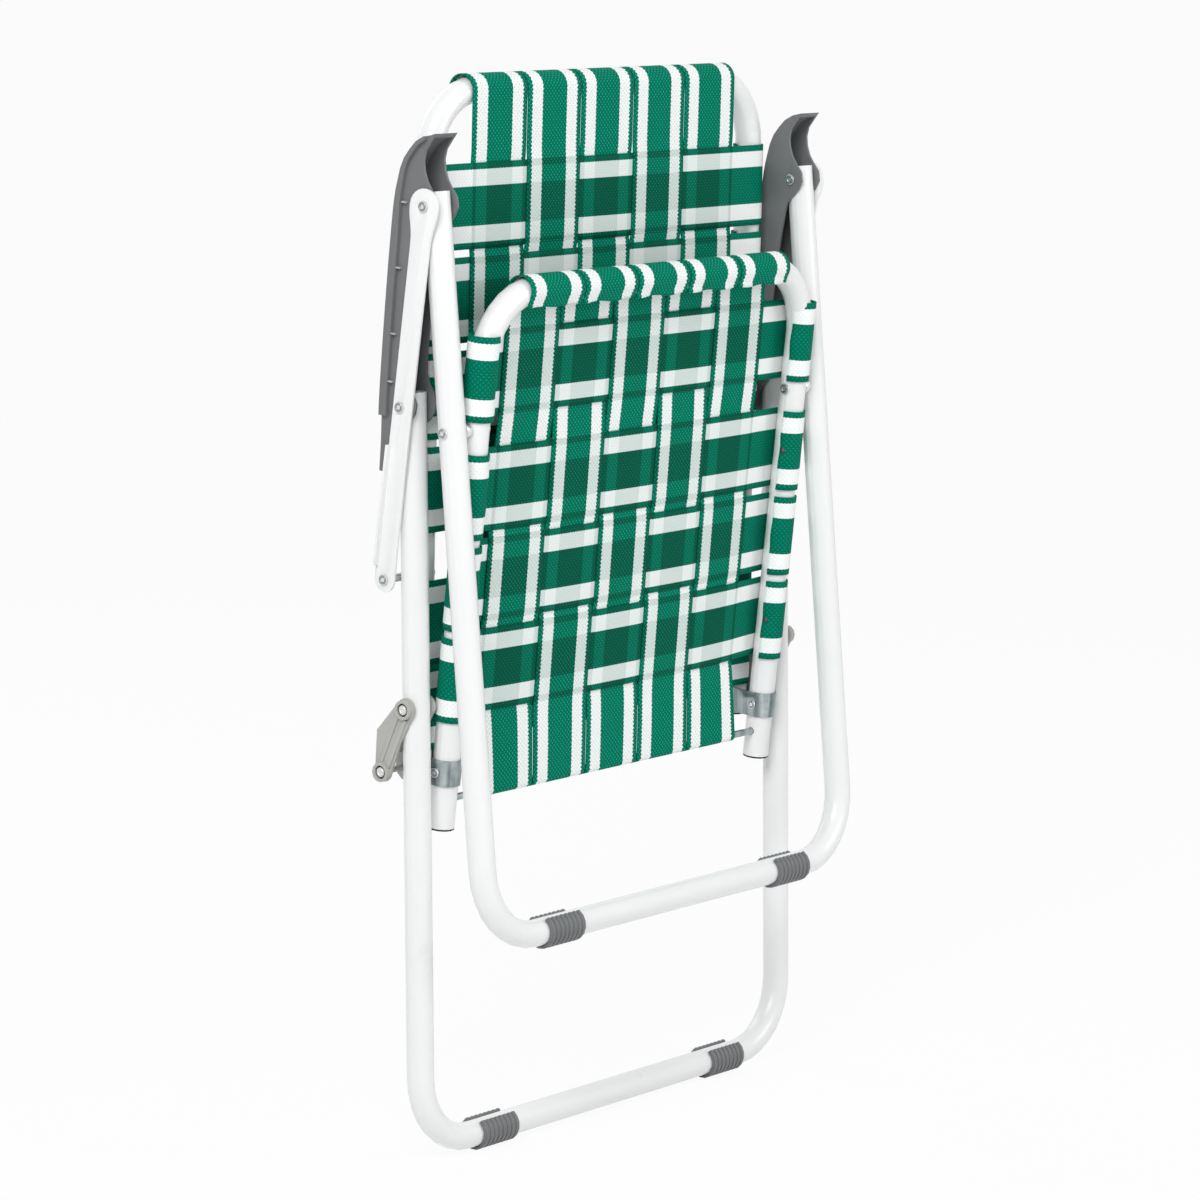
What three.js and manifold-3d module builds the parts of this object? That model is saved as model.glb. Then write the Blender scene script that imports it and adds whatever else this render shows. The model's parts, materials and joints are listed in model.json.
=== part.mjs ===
// A folding webbed lawn chair, standing folded on its rear foot bar.
// Units are millimetres and +Z is up. The folded chair faces -Y: the underside of the seat looks
// that way, and the back rest is behind it. The origin is on the floor under its middle.
import * as THREE from "three";
import { mergeVertices } from "three/addons/utils/BufferGeometryUtils.js";
import Module from "manifold-3d";

const wasm = await Module();
wasm.setup();

// Clearances that every piece shares
const runningGap = 0.3;
const cutOverrun = 2;

// Steel tube of all four frames
const tubeDiameter = 22;
const tubeWall = 1.4;
const bendRadius = 58;
const bodyFrameWidth = 426;
const betweenFrames = 7;

// Side view of the folded linkage: places of the pivots, as distances back and up
const hingeBack = 26;
const hingeHeight = 319;
const backLeanDegrees = 1.6;
const hingeToArmPivot = 154;
const hingeToBackTop = 535;
const backTubeBelowHinge = 12;
const armLeanDegrees = 8.2;
const armRearToMiddle = 138;
const armRearToFront = 297;
const middlePivotOffset = 2.5;
const rearLegTopAbovePivot = 11;
const frontLegTopAbovePivot = 11;
const frontLegLength = 580;
const frontLegLeanDegrees = 4.75;
const frontPivotToSeatPivot = 176;
const seatLeanDegrees = 6.7;
const seatPivotToTop = 107;
const seatTubeBelowHinge = 46;
const rearPivotToLink = 239;

// Webbing
const webWidth = 68;
const longWebShare = 0.1596;
const webThickness = 1.2;
const webGapShare = 0.0038;
const webTubeGap = 0.6;
const webWrapDegrees = 200;
const seatLongCount = 5;
const backLongCount = 5;
const seatUpperRows = 1;
const seatUpperTopBelowBar = 32;
const seatLowerRows = 3;
const seatLowerTopBelowPivot = 19;
const seatRowGap = 6;
const backUpperRows = 4;
const backUpperTopBelowBar = 57;
const backUpperRowGap = 6;
const backLowerRows = 2;
const backLowerTopBelowPivot = 4.3;
const backLowerRowGap = 0.3;

// Rods under the lower ends of the long straps
const rodDiameter = 6;
const seatRodBelowHinge = 24;
const backRodAboveEnd = 30;

// Armrest, a moulded channel over the tops of both leg frames
const armWall = 2.2;
const armTopWall = 2.6;
const armLip = 4;
const armLipAtNose = 2.6;
const armLipThickness = 7.2;

// Flat steel bar on the outer side of each armrest
const barWidth = 19;
const barHeadWidth = 28;
const barThickness = 2.2;
const barRearWidth = 20;
const barFlange = 4.5;
const barFlangeDown = 190;

// Rivets, pins and spacers
const rivetDiameter = 5;
const rivetHeadDiameter = 9;
const rivetHeadThickness = 1.5;
const spacerDiameter = 13;
const shoulderDiameter = 7;

// Folding link, a saddle over the rear leg tube
const linkPlate = 2.2;
const linkBossDiameter = 18;
const linkBossHeight = 4;
const linkBossStep = 1;
const linkWaist = 12;
const linkWingBack = 19;
const linkWingDown = 29;
const linkRibHeight = 2;
const linkRibWidth = 11;
const linkGrooveWidth = 5;
const linkGrooveDepth = 1.4;
const bridgeBack = 9.5;
const bridgeThickness = 3;
const bridgeNear = 33;
const bridgeFar = 46;
const linkRecess = 2.5;
const linkRecessRadius = 5.5;
const linkRivetHead = 8;

// Galvanised hinge bracket round each seat tube
const bracketHeight = 21;
const bracketThickness = 1.4;
const bracketEndRadius = 12.2;
const bracketRise = 1.5;
const bracketRivetHead = 8;

// Ribbed clips on the foot bars
const clipLength = 44;
const clipWall = 1.7;
const clipRibHeight = 0.7;
const clipRibCount = 8;
const clipFlats = 13;
const clipOpeningDegrees = 70;
const clipEndInset = 58;
const clipRibGapShare = 0.35;

// Caps in the open ends of the seat and back tubes
const capRim = 1.2;
const capPlug = 9;

// Facets
const tubeSides = 16;
const boreSides = 10;
const bendSteps = 8;
const curveSteps = 6;
const armTopSteps = 32;
const armOpenSteps = 34;
const roundSides = 12;
const wrapSteps = 8;

const tubeRadius = tubeDiameter / 2;
const halfBody = bodyFrameWidth / 2;
const halfLeg = halfBody + tubeDiameter + betweenFrames;
const rad = THREE.MathUtils.degToRad;

// The long straps lie side by side across the frame, so their width comes from the frame's
const longWebWidth = bodyFrameWidth * longWebShare;
const webGap = bodyFrameWidth * webGapShare;

// A point of the side view: y back, z up
function sidePoint(y, z) {
  return { y, z };
}

// The side point reached from another one along a direction leaning back from the vertical
function along(from, leanDegrees, distance) {
  const lean = rad(leanDegrees);
  return sidePoint(from.y + Math.sin(lean) * distance, from.z + Math.cos(lean) * distance);
}

function leanBetween(low, high) {
  return Math.atan2(high.y - low.y, high.z - low.z);
}

const footRise = 2 * runningGap + clipWall + clipRibHeight;
const hinge = sidePoint(hingeBack, hingeHeight);
const armRear = along(hinge, -backLeanDegrees, hingeToArmPivot);
const backEnd = along(hinge, -backLeanDegrees, -backTubeBelowHinge);
const armFront = along(armRear, -armLeanDegrees, armRearToFront);
const armOnLine = along(armRear, -armLeanDegrees, armRearToMiddle);
const armMiddle = sidePoint(
  armOnLine.y + Math.cos(rad(armLeanDegrees)) * middlePivotOffset,
  armOnLine.z + Math.sin(rad(armLeanDegrees)) * middlePivotOffset,
);
const seatPivot = along(armFront, frontLegLeanDegrees, -frontPivotToSeatPivot);
const frontFoot = along(armFront, frontLegLeanDegrees, -frontLegLength);
const rearFoot = sidePoint(0, footRise + tubeRadius);
const rearLegLean = leanBetween(rearFoot, armMiddle);
const linkPivot = along(armMiddle, THREE.MathUtils.radToDeg(rearLegLean), -rearPivotToLink);

// Materials
const whiteSteel = new THREE.MeshStandardMaterial({ color: "#f4f4f3", roughness: 0.35, metalness: 0 });
const zincSteel = new THREE.MeshStandardMaterial({ color: "#a7b1b1", roughness: 0.4, metalness: 0.9 });
const greyPlastic = new THREE.MeshStandardMaterial({ color: "#6b6d6e", roughness: 0.55, metalness: 0 });
const lightPlastic = new THREE.MeshStandardMaterial({ color: "#b9b8b2", roughness: 0.5, metalness: 0 });
const blackPlastic = new THREE.MeshStandardMaterial({ color: "#1b1b1b", roughness: 0.6, metalness: 0 });
const greenWeb = new THREE.MeshStandardMaterial({ color: "#007a5e", roughness: 0.7, metalness: 0 });

const chair = new THREE.Group();

// A closed solid for joining and cutting, from any closed geometry
function solid(geometry) {
  const bare = geometry.index ? geometry.toNonIndexed() : geometry.clone();
  bare.deleteAttribute("normal");
  bare.deleteAttribute("uv");
  const merged = mergeVertices(bare, 1e-4);
  const made = new wasm.Manifold(
    new wasm.Mesh({
      numProp: 3,
      vertProperties: new Float32Array(merged.attributes.position.array),
      triVerts: new Uint32Array(merged.index.array),
    }),
  );
  return made;
}

// Puts a finished solid in the chair as one named piece
function place(name, made, material) {
  const mesh = made.getMesh();
  const geometry = new THREE.BufferGeometry();
  geometry.setAttribute("position", new THREE.BufferAttribute(new Float32Array(mesh.vertProperties), 3));
  geometry.setIndex(new THREE.BufferAttribute(new Uint32Array(mesh.triVerts), 1));
  const flat = geometry.toNonIndexed();
  flat.computeVertexNormals();
  const piece = new THREE.Mesh(flat, material);
  piece.name = name;
  chair.add(piece);
  return piece;
}

// A path through chosen knots, sampled at the knots alone, so that straight runs cost nothing
class KnotPath extends THREE.Curve {
  constructor(knots) {
    super();
    this.knots = knots;
  }
  getUtoTmapping(u) {
    return u;
  }
  getPoint(t, target = new THREE.Vector3()) {
    const last = this.knots.length - 1;
    const place01 = Math.min(Math.max(t, 0), 1) * last;
    const index = Math.min(Math.floor(place01), last - 1);
    return target.lerpVectors(this.knots[index], this.knots[index + 1], place01 - index);
  }
}

// A U of tube in the X-Z plane, with its bar at the height barZ and both ends at endZ
function uTube(halfWidth, barZ, endZ, shape) {
  const knots = [];
  const turn = Math.sign(barZ - endZ);
  knots.push(new THREE.Vector3(-halfWidth, 0, endZ));
  for (let i = 0; i <= bendSteps; i += 1) {
    const a = (Math.PI / 2) * (i / bendSteps);
    const x = -halfWidth + bendRadius * (1 - Math.cos(a));
    knots.push(new THREE.Vector3(x, 0, barZ - turn * bendRadius * (1 - Math.sin(a))));
  }
  const mirrored = knots.map((p) => new THREE.Vector3(-p.x, p.y, p.z)).reverse();
  const path = new KnotPath([...knots, ...mirrored]);
  return new THREE.ExtrudeGeometry(shape, {
    steps: path.knots.length - 1,
    bevelEnabled: false,
    extrudePath: path,
  });
}

// A ring section with flats to the sides, front and back
function facetShape(outer, inner) {
  const shape = new THREE.Shape(ringPoints(outer, tubeSides));
  shape.holes.push(new THREE.Path(ringPoints(inner, boreSides).reverse()));
  return shape;
}

function ringPoints(radius, sides) {
  const points = [];
  for (let i = 0; i < sides; i += 1) {
    const a = ((i + 1 / 2) / sides) * Math.PI * 2;
    points.push(new THREE.Vector2(Math.cos(a) * radius, Math.sin(a) * radius));
  }
  return points;
}

// Turns a geometry drawn upright round the X axis so that it leans back, and sets it at a side point
function leaned(geometry, at, lean) {
  return geometry.clone().rotateX(-lean).translate(0, at.y, at.z);
}

// A round rod or cutter along X, from x0 to x1, through a side point
function rodAlongX(x0, x1, at, radius, sides = roundSides) {
  return new THREE.CylinderGeometry(radius, radius, Math.abs(x1 - x0), sides)
    .rotateZ(Math.PI / 2)
    .translate((x0 + x1) / 2, at.y, at.z);
}

// Cuts a clearance hole for a rivet through both walls on one side of a frame
function drill(made, x0, x1, at, diameter) {
  const radius = diameter / 2 + runningGap;
  return made.subtract(solid(rodAlongX(x0, x1, at, radius)));
}

// A rivet along X with a flat head at each end; x0 and x1 are the outer faces that it holds
function rivet(x0, x1, at, headDiameter = rivetHeadDiameter) {
  const low = Math.min(x0, x1) - runningGap;
  const high = Math.max(x0, x1) + runningGap;
  const shank = solid(rodAlongX(low - rivetHeadThickness, high + rivetHeadThickness, at, rivetDiameter / 2));
  const first = solid(rodAlongX(low - rivetHeadThickness, low, at, headDiameter / 2));
  const second = solid(rodAlongX(high, high + rivetHeadThickness, at, headDiameter / 2));
  return shank.add(first).add(second);
}

// The frames

const backLean = -rad(backLeanDegrees);
const seatLean = -rad(seatLeanDegrees);
const armLean = -rad(armLeanDegrees);
const frontLegLean = rad(frontLegLeanDegrees);
const sides = [
  { name: "left", sign: -1 },
  { name: "right", sign: 1 },
];

function frameSolid(halfWidth, origin, lean, barDistance, endDistance) {
  const shape = facetShape(tubeRadius, tubeRadius - tubeWall);
  return solid(leaned(uTube(halfWidth, barDistance, endDistance, shape), origin, lean));
}

// The space that a frame takes up, with a running gap round it
function frameClearance(origin, lean, barDistance) {
  const shape = new THREE.Shape(ringPoints(tubeRadius + runningGap, tubeSides));
  return solid(leaned(uTube(halfBody, barDistance, 0, shape), origin, lean));
}

function buildRearLegs() {
  let made = frameSolid(halfLeg, armMiddle, rearLegLean, -distance(armMiddle, rearFoot), rearLegTopAbovePivot);
  sides.forEach(({ sign }) => {
    const x0 = sign * (halfLeg - tubeRadius - cutOverrun);
    const x1 = sign * (halfLeg + tubeRadius + cutOverrun);
    made = drill(made, x0, x1, armMiddle, rivetDiameter);
    made = drill(made, x0, x1, linkPivot, rivetDiameter);
  });
  place("rear_leg_frame", made, whiteSteel);
}

function buildFrontLegs() {
  let made = frameSolid(halfLeg, armFront, frontLegLean, -frontLegLength, frontLegTopAbovePivot);
  sides.forEach(({ sign }) => {
    const x0 = sign * (halfLeg - tubeRadius - cutOverrun);
    const x1 = sign * (halfLeg + tubeRadius + cutOverrun);
    made = drill(made, x0, x1, armFront, rivetDiameter);
    made = drill(made, x0, x1, seatPivot, rivetDiameter);
  });
  place("front_leg_frame", made, whiteSteel);
}

// The place on the seat tube that its bracket is wrapped round, square across from the hinge
const seatToHinge = Math.cos(rad(seatLeanDegrees)) * (seatPivot.z - hinge.z)
  + Math.sin(rad(seatLeanDegrees)) * (hinge.y - seatPivot.y);
const seatAtHinge = along(seatPivot, -seatLeanDegrees, -seatToHinge + bracketRise);
const seatEnd = along(seatAtHinge, -seatLeanDegrees, -seatTubeBelowHinge);
const seatRod = along(seatAtHinge, -seatLeanDegrees, -seatRodBelowHinge);
const backRod = along(backEnd, -backLeanDegrees, backRodAboveEnd);

function distance(a, b) {
  return Math.hypot(a.y - b.y, a.z - b.z);
}

function buildSeatFrame() {
  let made = frameSolid(halfBody, seatPivot, seatLean, seatPivotToTop, -distance(seatPivot, seatEnd));
  sides.forEach(({ sign }) => {
    const x0 = sign * (halfBody - tubeRadius - cutOverrun);
    const x1 = sign * (halfBody + tubeRadius + cutOverrun);
    made = drill(made, x0, x1, seatPivot, rivetDiameter);
    made = drill(made, x0, x1, seatAtHinge, rivetDiameter);
  });
  const reach = halfBody - tubeRadius / 2;
  made = drill(made, -reach, reach, seatRod, rodDiameter);
  place("seat_frame", made, whiteSteel);
}

function buildBackFrame() {
  let made = frameSolid(halfBody, hinge, backLean, hingeToBackTop, -backTubeBelowHinge);
  sides.forEach(({ sign }) => {
    const x0 = sign * (halfBody - tubeRadius - cutOverrun);
    const x1 = sign * (halfBody + tubeRadius + cutOverrun);
    made = drill(made, x0, x1, hinge, rivetDiameter);
    made = drill(made, x0, x1, armRear, rivetDiameter);
  });
  const reach = halfBody - tubeRadius / 2;
  made = drill(made, -reach, reach, backRod, rodDiameter);
  place("back_frame", made, whiteSteel);
}

buildRearLegs();
buildFrontLegs();
buildSeatFrame();
buildBackFrame();

// The rods, pushed into the inner walls of the side tubes
function buildRods() {
  const reach = halfBody - tubeRadius / 2 - runningGap;
  place("seat_rear_rod", solid(rodAlongX(-reach, reach, seatRod, rodDiameter / 2)), zincSteel);
  place("back_lower_rod", solid(rodAlongX(-reach, reach, backRod, rodDiameter / 2)), zincSteel);
}

buildRods();

// End caps: a plug in the bore and a rim under the tube's end
function buildCap(name, sign, end, lean) {
  const rim = new THREE.CylinderGeometry(tubeRadius, tubeRadius, capRim, roundSides)
    .rotateX(Math.PI / 2)
    .translate(0, 0, -runningGap - capRim / 2);
  const flatInradius = (tubeRadius - tubeWall) * Math.cos(Math.PI / boreSides) - runningGap;
  const plug = new THREE.CylinderGeometry(flatInradius, flatInradius, capPlug, roundSides)
    .rotateX(Math.PI / 2)
    .translate(0, 0, capPlug / 2 - runningGap - capRim / 2);
  const made = solid(leaned(rim, end, lean)).add(solid(leaned(plug, end, lean)));
  place(name, made.translate([sign * halfBody, 0, 0]), blackPlastic);
}

// Shapes drawn in the side view: x is back, y is up, and the thickness runs along +X
const sideOn = new THREE.Matrix4().makeBasis(
  new THREE.Vector3(0, 1, 0),
  new THREE.Vector3(0, 0, 1),
  new THREE.Vector3(1, 0, 0),
);

// A closed band of webbing drawn along a centre line of side points, all one thickness
function bandShape(line, thickness = webThickness) {
  const half = thickness / 2;
  const outer = [];
  const inner = [];
  line.forEach((p, i) => {
    const before = line[Math.max(i - 1, 0)];
    const after = line[Math.min(i + 1, line.length - 1)];
    const direction = new THREE.Vector2(after.x - before.x, after.y - before.y).normalize();
    outer.push(new THREE.Vector2(p.x - direction.y * half, p.y + direction.x * half));
    inner.push(new THREE.Vector2(p.x + direction.y * half, p.y - direction.x * half));
  });
  return new THREE.Shape([...outer, ...inner.reverse()]);
}

// Points of an arc round a centre, from one angle to another
function arcPoints(cx, cy, radius, from, to, steps) {
  const points = [];
  for (let i = 0; i <= steps; i += 1) {
    const a = from + (to - from) * (i / steps);
    points.push(new THREE.Vector2(cx + Math.cos(a) * radius, cy + Math.sin(a) * radius));
  }
  return points;
}

const wrapRadius = tubeRadius + webTubeGap + webThickness / 2;

// A strap across the frame: flat over the sitting side, wrapped round both side tubes.
// facing is +1 when the sitting side is at the back of the frame, and -1 when it is at the front.
function crossStrap(name, origin, lean, facing, centreUp, clearance) {
  const wrap = rad(webWrapDegrees);
  const top = Math.PI / 2;
  const left = arcPoints(-halfBody, 0, wrapRadius, top + wrap, top, wrapSteps);
  const right = arcPoints(halfBody, 0, wrapRadius, top, top - wrap, wrapSteps);
  const band = new THREE.ExtrudeGeometry(bandShape([...left, ...right]), {
    depth: webWidth,
    bevelEnabled: false,
  });
  band.translate(0, 0, centreUp - webWidth / 2);
  if (facing < 0) band.rotateZ(Math.PI);
  place(name, solid(leaned(band, origin, lean)).subtract(clearance), greenWeb);
}

// A strap along the frame: round the bar at the top, under the cross straps, and round the lower rod
function longStrap(name, origin, lean, facing, centreX, barUp, rodUp, clearance) {
  const wrap = rad(webWrapDegrees);
  const rodWrap = rodDiameter / 2 + runningGap + webThickness / 2;
  const dip = Math.asin((wrapRadius - underPlane) / (2 * bendRadius));
  const round = arcPoints(0, barUp, wrapRadius, wrap - dip, -dip, wrapSteps);
  const under = new THREE.Vector2(underPlane, barUp - bendRadius / 3);
  const level = new THREE.Vector2(underPlane, barUp - bendRadius);
  const low = arcPoints(0, rodUp, rodWrap, 0, -wrap, wrapSteps);
  const line = [...round, under, level, ...low];
  const band = new THREE.ExtrudeGeometry(bandShape(line), { depth: longWebWidth, bevelEnabled: false });
  band.applyMatrix4(sideOn);
  band.translate(-longWebWidth / 2, 0, 0);
  if (facing < 0) band.rotateZ(Math.PI);
  band.translate(centreX, 0, 0);
  place(name, solid(leaned(band, origin, lean)).subtract(clearance), greenWeb);
}

const underPlane = wrapRadius - webThickness - runningGap;

// Centres of the cross straps in one group, counted down from its top edge
function rowCentres(top, gap, count) {
  const centres = [];
  for (let i = 0; i < count; i += 1) {
    centres.push(top - i * (webWidth + gap) - webWidth / 2);
  }
  return centres;
}

function longStrapCentres(count) {
  const centres = [];
  for (let i = 0; i < count; i += 1) {
    centres.push((i - (count - 1) / 2) * (longWebWidth + webGap));
  }
  return centres;
}

function buildSeatWebbing() {
  const clearance = frameClearance(seatPivot, seatLean, seatPivotToTop);
  const rodUp = -distance(seatPivot, seatRod);
  const rows = [
    ...rowCentres(seatPivotToTop - seatUpperTopBelowBar, seatRowGap, seatUpperRows),
    ...rowCentres(-seatLowerTopBelowPivot, seatRowGap, seatLowerRows),
  ];
  rows.forEach((up, i) => {
    crossStrap("seat_cross_strap_" + (i + 1), seatPivot, seatLean, 1, up, clearance);
  });
  longStrapCentres(seatLongCount).forEach((x, i) => {
    const name = "seat_long_strap_" + (i + 1);
    longStrap(name, seatPivot, seatLean, 1, x, seatPivotToTop, rodUp, clearance);
  });
}

function buildBackWebbing() {
  const clearance = frameClearance(hinge, backLean, hingeToBackTop);
  const rodUp = backRodAboveEnd - backTubeBelowHinge;
  const rows = [
    ...rowCentres(hingeToBackTop - backUpperTopBelowBar, backUpperRowGap, backUpperRows),
    ...rowCentres(hingeToArmPivot - backLowerTopBelowPivot, backLowerRowGap, backLowerRows),
  ];
  rows.forEach((up, i) => {
    crossStrap("back_cross_strap_" + (i + 1), hinge, backLean, -1, up, clearance);
  });
  longStrapCentres(backLongCount).forEach((x, i) => {
    const name = "back_long_strap_" + (i + 1);
    longStrap(name, hinge, backLean, -1, x, hingeToBackTop, rodUp, clearance);
  });
}

buildSeatWebbing();
buildBackWebbing();

// A flat side-view shape made solid between two X places, leaned and set at a side point
function slab(shape, x0, x1, at, lean) {
  const low = Math.min(x0, x1);
  const plate = new THREE.ExtrudeGeometry(shape, {
    depth: Math.abs(x1 - x0),
    bevelEnabled: false,
    curveSegments: curveSteps,
  });
  plate.applyMatrix4(sideOn).translate(low, 0, 0);
  return solid(leaned(plate, at, lean));
}

// The armrests

const flankInner = tubeRadius + runningGap;
const flankOuter = flankInner + armWall;
// Side view of the armrest from its nose down to its tail, as shares of the arm's length: the top
// face behind, and the open edge in front with an ear round each rivet
const armTopShares = [
  [-0.0067, 0.1919],
  [0.0337, 0.1751],
  [0.0606, 0.1448],
  [0.0825, 0.1077],
  [0.0909, 0.0673],
  [0.0976, 0.0000],
  [0.0956, -0.1347],
  [0.0909, -0.2694],
  [0.0848, -0.4040],
  [0.0774, -0.5320],
  [0.0673, -0.6397],
  [0.0623, -0.7172],
];
const armOpenShares = [
  [0.0421, -0.7172],
  [0.0269, -0.6397],
  [0.0067, -0.5993],
  [-0.0202, -0.5724],
  [-0.0404, -0.5320],
  [-0.0269, -0.5017],
  [0.0000, -0.4680],
  [0.0101, -0.4209],
  [0.0135, -0.3367],
  [0.0114, -0.2020],
  [0.0067, -0.1010],
  [0.0000, -0.0572],
  [-0.0202, -0.0404],
  [-0.0384, 0.0000],
  [-0.0269, 0.0337],
  [-0.0067, 0.0505],
  [0.0135, 0.0808],
  [0.0236, 0.1178],
  [0.0202, 0.1448],
];
const armLipEndShare = 0.9;
const armLipTaperShare = 0.35;

function armPoints(shares, steps, inset = 0) {
  const points = shares.map(([back, up]) => new THREE.Vector2(back * armRearToFront, up * armRearToFront));
  const curve = new THREE.SplineCurve(points);
  const made = [];
  for (let i = 0; i <= steps; i += 1) {
    const at = curve.getPointAt(i / steps);
    const along = curve.getTangentAt(i / steps);
    const depth = typeof inset === "function" ? inset(i / steps) : inset;
    made.push(new THREE.Vector2(at.x + along.y * depth, at.y - along.x * depth));
  }
  return made;
}

function flankShape() {
  return new THREE.Shape([...armPoints(armTopShares, armTopSteps), ...armPoints(armOpenShares, armOpenSteps)]);
}

// The hollow under the top face, open in front
function hollowShape() {
  const inner = armPoints(armTopShares, armTopSteps, armTopWall);
  const last = inner[inner.length - 1];
  const first = inner[0];
  const shape = new THREE.Shape(inner);
  shape.lineTo(last.x, last.y - cutOverrun);
  shape.lineTo(-tubeDiameter, last.y - cutOverrun);
  shape.lineTo(-tubeDiameter, first.y);
  return shape;
}

// The lip that stands out along the outer edge of the top face, thin at the nose and full behind it
function lipDepth(share) {
  return armLipAtNose + (armLipThickness - armLipAtNose) * Math.min(share / armLipTaperShare, 1);
}

function lipShape() {
  const count = Math.floor(armTopSteps * armLipEndShare);
  const outer = armPoints(armTopShares, armTopSteps).slice(1, count);
  const inner = armPoints(armTopShares, armTopSteps, lipDepth).slice(1, count);
  return new THREE.Shape([...outer, ...inner.reverse()]);
}

function buildArmrest(name, sign) {
  const centre = sign * halfLeg;
  const whole = slab(flankShape(), centre - flankOuter, centre + flankOuter, armFront, armLean);
  const hollow = slab(hollowShape(), centre - flankInner, centre + flankInner, armFront, armLean);
  const reach = flankOuter + armLip;
  const lipFoot = centre + sign * (flankInner + runningGap);
  const lip = slab(lipShape(), lipFoot, centre + sign * reach, armFront, armLean);
  let made = whole.subtract(hollow).add(lip);
  const x0 = centre - reach - cutOverrun;
  const x1 = centre + reach + cutOverrun;
  made = drill(made, x0, x1, armFront, rivetDiameter);
  made = drill(made, x0, x1, armMiddle, rivetDiameter);
  place("armrest_" + name, made, greyPlastic);
}

// The flat steel bars, drawn from the front pivot down to the rear one
function barShape() {
  const half = barWidth / 2;
  const head = barHeadWidth / 2;
  const tail = barRearWidth / 2;
  const shape = new THREE.Shape();
  shape.absarc(0, 0, head, 0, Math.PI, false);
  shape.bezierCurveTo(-head, -head, -half, -head, -half, -head - barWidth);
  shape.lineTo(-half, -armRearToFront + tail * 2);
  shape.absarc(0, -armRearToFront, tail, Math.PI, Math.PI * 2, false);
  shape.lineTo(half, -armRearToFront + tail * 2);
  shape.lineTo(half, -head - barWidth);
  shape.bezierCurveTo(half, -head, head, -head, head, 0);
  return shape;
}

// The turned-out edge at the back of the bar's lower half, cut off slantwise
function barFlangeShape() {
  const half = barWidth / 2;
  const low = -armRearToFront + barRearWidth / 2;
  const high = -barFlangeDown;
  const shape = new THREE.Shape();
  shape.moveTo(half, low);
  shape.lineTo(half, high);
  shape.lineTo(half - barThickness, high);
  shape.lineTo(half - barThickness, low);
  return shape;
}

function buildArmBar(name, sign) {
  const inner = sign * (halfLeg + flankOuter + runningGap);
  const outer = inner + sign * barThickness;
  let made = slab(barShape(), inner, outer, armFront, armLean);
  made = made.add(slab(barFlangeShape(), inner, outer + sign * barFlange, armFront, armLean));
  const x0 = inner - sign * cutOverrun;
  const x1 = outer + sign * cutOverrun;
  [armFront, armMiddle, armRear].forEach((pivot) => {
    made = drill(made, x0, x1, pivot, rivetDiameter);
  });
  place("arm_bar_" + name, made, whiteSteel);
}

// Rivets through the armrests, and the shouldered rivet that reaches in to the back frame
function buildArmRivets(name, sign) {
  const outer = sign * (halfLeg + flankOuter + runningGap + barThickness);
  const inner = sign * (halfLeg - flankOuter);
  place("arm_front_rivet_" + name, rivet(inner, outer, armFront), zincSteel);
  place("arm_middle_rivet_" + name, rivet(inner, outer, armMiddle), zincSteel);
  const shoulderIn = sign * (halfBody + tubeRadius + runningGap);
  const shoulderOut = sign * (halfLeg + flankOuter);
  const rear = rivet(sign * (halfBody - tubeRadius), outer, armRear);
  const shoulder = solid(rodAlongX(shoulderIn, shoulderOut, armRear, shoulderDiameter / 2));
  place("arm_rear_rivet_" + name, rear.add(shoulder), zincSteel);
}

// The seat pivot is in two pieces: a rivet in the front leg tube and a shouldered stub in the seat
// tube, whose collar fills the space between the tubes
function buildSeatPivot(name, sign) {
  const legOuter = sign * (halfLeg + tubeRadius);
  const legInner = sign * (halfLeg - tubeRadius);
  const headOut = legOuter + sign * (runningGap + rivetHeadThickness);
  const head = solid(rodAlongX(legOuter + sign * runningGap, headOut, seatPivot, rivetHeadDiameter / 2));
  const shank = solid(rodAlongX(legInner, headOut, seatPivot, rivetDiameter / 2));
  place("seat_pivot_rivet_" + name, shank.add(head), zincSteel);
  const tubeOuter = sign * (halfBody + tubeRadius + runningGap);
  const tubeInner = sign * (halfBody - tubeRadius);
  const collar = solid(rodAlongX(tubeOuter, legInner - sign * runningGap, seatPivot, spacerDiameter / 2));
  const stub = rivet(tubeInner, tubeOuter, seatPivot);
  place("seat_pivot_spacer_" + name, stub.add(collar), zincSteel);
}

// The folding links: two plates with ringed bosses, joined by a bridge behind the leg tube
const linkLean = Math.atan2(linkPivot.y - hinge.y, linkPivot.z - hinge.z);
const linkSpan = distance(linkPivot, hinge);
function linkPlateShape() {
  const boss = linkBossDiameter / 2;
  const end = boss - linkBossStep;
  const shape = new THREE.Shape();
  shape.absarc(0, 0, boss, -Math.PI * 0.9, Math.PI * 0.1, true);
  shape.lineTo(linkWingBack, -linkWingDown);
  shape.lineTo(end + linkBossStep, -linkSpan + linkBossStep);
  shape.lineTo(end, -linkSpan);
  shape.absarc(0, -linkSpan, end, 0, -Math.PI, true);
  shape.lineTo(-linkWaist / 2, -linkSpan / 2);
  return shape;
}

// The rib from boss to boss on the outer plate, and the groove down its middle
function linkBandShape(width) {
  const inset = linkBossDiameter / 2 - linkBossStep * 2;
  const shape = new THREE.Shape();
  shape.moveTo(-width / 2, -inset);
  shape.lineTo(width / 2, -inset);
  shape.lineTo(width / 2, -linkSpan + inset);
  shape.lineTo(-width / 2, -linkSpan + inset);
  return shape;
}

function linkBridgeShape() {
  const shape = new THREE.Shape();
  shape.moveTo(bridgeBack, -bridgeNear);
  shape.lineTo(bridgeBack, -bridgeFar);
  shape.lineTo(bridgeBack - bridgeThickness, -bridgeFar);
  shape.lineTo(bridgeBack - bridgeThickness, -bridgeNear);
  return shape;
}

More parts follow.
